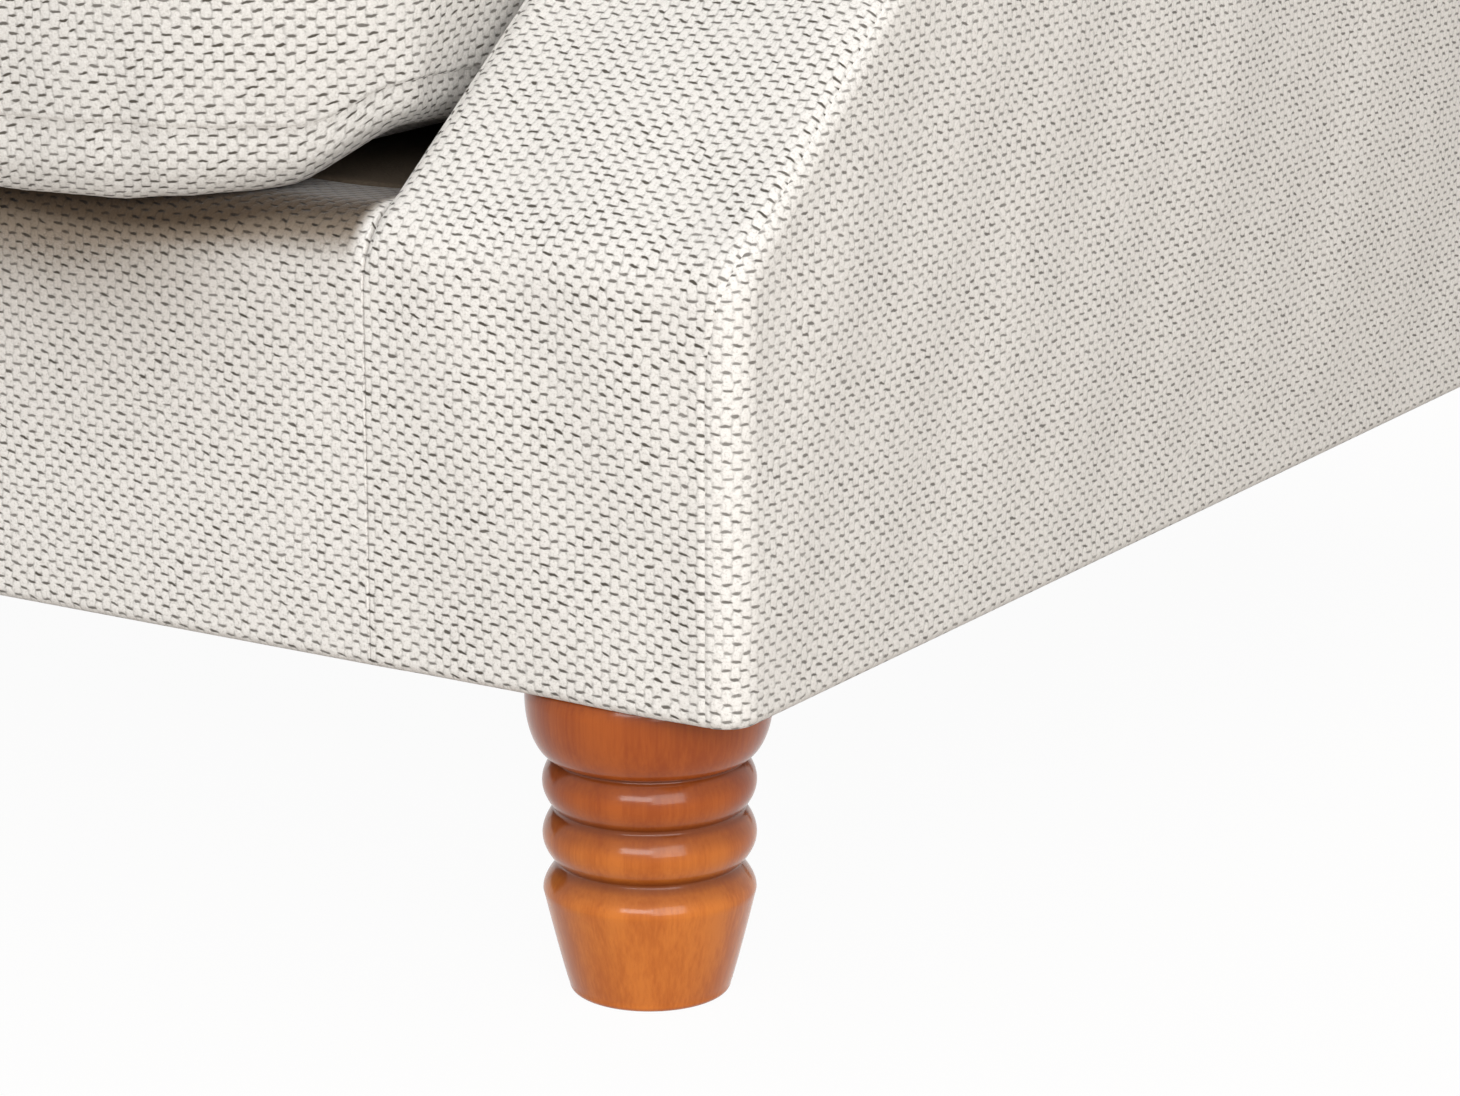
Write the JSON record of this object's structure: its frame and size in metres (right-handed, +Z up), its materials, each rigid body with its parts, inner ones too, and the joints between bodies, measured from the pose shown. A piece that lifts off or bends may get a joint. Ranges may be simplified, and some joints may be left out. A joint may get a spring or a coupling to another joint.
{
  "type": "english roll arm sofa",
  "caption": "Upholstered sofa with low rolled arms that slope at the front, loose seat and back cushions and short turned wooden feet.",
  "frame": {"origin": "on the floor, in the middle of the footprint", "axes": "+X to the right seen from the front, +Y to the back, +Z up; the front faces -Y"},
  "size_m": [2.0298, 1.0018, 0.86],
  "materials": {
    "chenille": "matte",
    "stained_wood": "gloss",
    "frame_wood": "matte",
    "spring_steel": "satin",
    "zinc_steel": "satin",
    "webbing": "matte",
    "dust_cloth": "matte",
    "filling": "matte"
  },
  "bodies": {
    "sofa_body": {"front_seat_rail": "frame_wood", "rear_seat_rail": "frame_wood", "centre_seat_rail": "frame_wood", "left_side_seat_rail": "frame_wood", "right_side_seat_rail": "frame_wood", "left_front_corner_block": "frame_wood", "right_front_corner_block": "frame_wood", "left_rear_corner_block": "frame_wood", "right_rear_corner_block": "frame_wood", "left_arm_side_panel": "frame_wood", "right_arm_side_panel": "frame_wood", "left_arm_front_former": "frame_wood", "right_arm_front_former": "frame_wood", "left_arm_tack_rail": "frame_wood", "right_arm_tack_rail": "frame_wood", "left_arm_top_rail": "frame_wood", "right_arm_top_rail": "frame_wood", "left_back_post": "frame_wood", "right_back_post": "frame_wood", "back_lower_rail": "frame_wood", "back_top_rail": "frame_wood", "back_webbing_1": "webbing", "back_webbing_2": "webbing", "back_webbing_3": "webbing", "back_webbing_4": "webbing", "seat_spring_1": "spring_steel", "seat_spring_2": "spring_steel", "seat_spring_3": "spring_steel", "seat_spring_4": "spring_steel", "seat_spring_5": "spring_steel", "seat_spring_6": "spring_steel", "seat_spring_7": "spring_steel", "seat_spring_8": "spring_steel", "front_left_foot": "stained_wood", "front_right_foot": "stained_wood", "rear_left_foot": "stained_wood", "rear_right_foot": "stained_wood", "front_left_foot_bolt": "zinc_steel", "front_right_foot_bolt": "zinc_steel", "rear_left_foot_bolt": "zinc_steel", "rear_right_foot_bolt": "zinc_steel", "dust_cover": "dust_cloth", "front_border_cover": "chenille", "seat_deck": "chenille", "left_arm_facing": "chenille", "right_arm_facing": "chenille", "left_outside_arm": "chenille", "right_outside_arm": "chenille", "left_inside_arm": "chenille", "right_inside_arm": "chenille", "inside_back": "chenille", "outside_back": "chenille"},
    "left_seat_cushion": {"left_seat_cushion_cover": "chenille", "left_seat_cushion_insert": "filling"},
    "left_back_cushion": {"left_back_cushion_cover": "chenille", "left_back_cushion_insert": "filling"},
    "right_seat_cushion": {"right_seat_cushion_cover": "chenille", "right_seat_cushion_insert": "filling"},
    "right_back_cushion": {"right_back_cushion_cover": "chenille", "right_back_cushion_insert": "filling"}
  },
  "joints": [
    {"name": "left_seat_cushion_pull", "type": "slide", "parent": "sofa_body", "child": "left_seat_cushion", "axis": [0, -1, 0], "range_m": [0, 0.78]},
    {"name": "right_seat_cushion_pull", "type": "slide", "parent": "sofa_body", "child": "right_seat_cushion", "axis": [0, -1, 0], "range_m": [0, 0.78]},
    {"name": "left_back_cushion_lift", "type": "slide", "parent": "sofa_body", "child": "left_back_cushion", "axis": [0, 0.165, 0.9863], "range_m": [0, 0.44]},
    {"name": "right_back_cushion_lift", "type": "slide", "parent": "sofa_body", "child": "right_back_cushion", "axis": [0, 0.165, 0.9863], "range_m": [0, 0.44]}
  ]
}
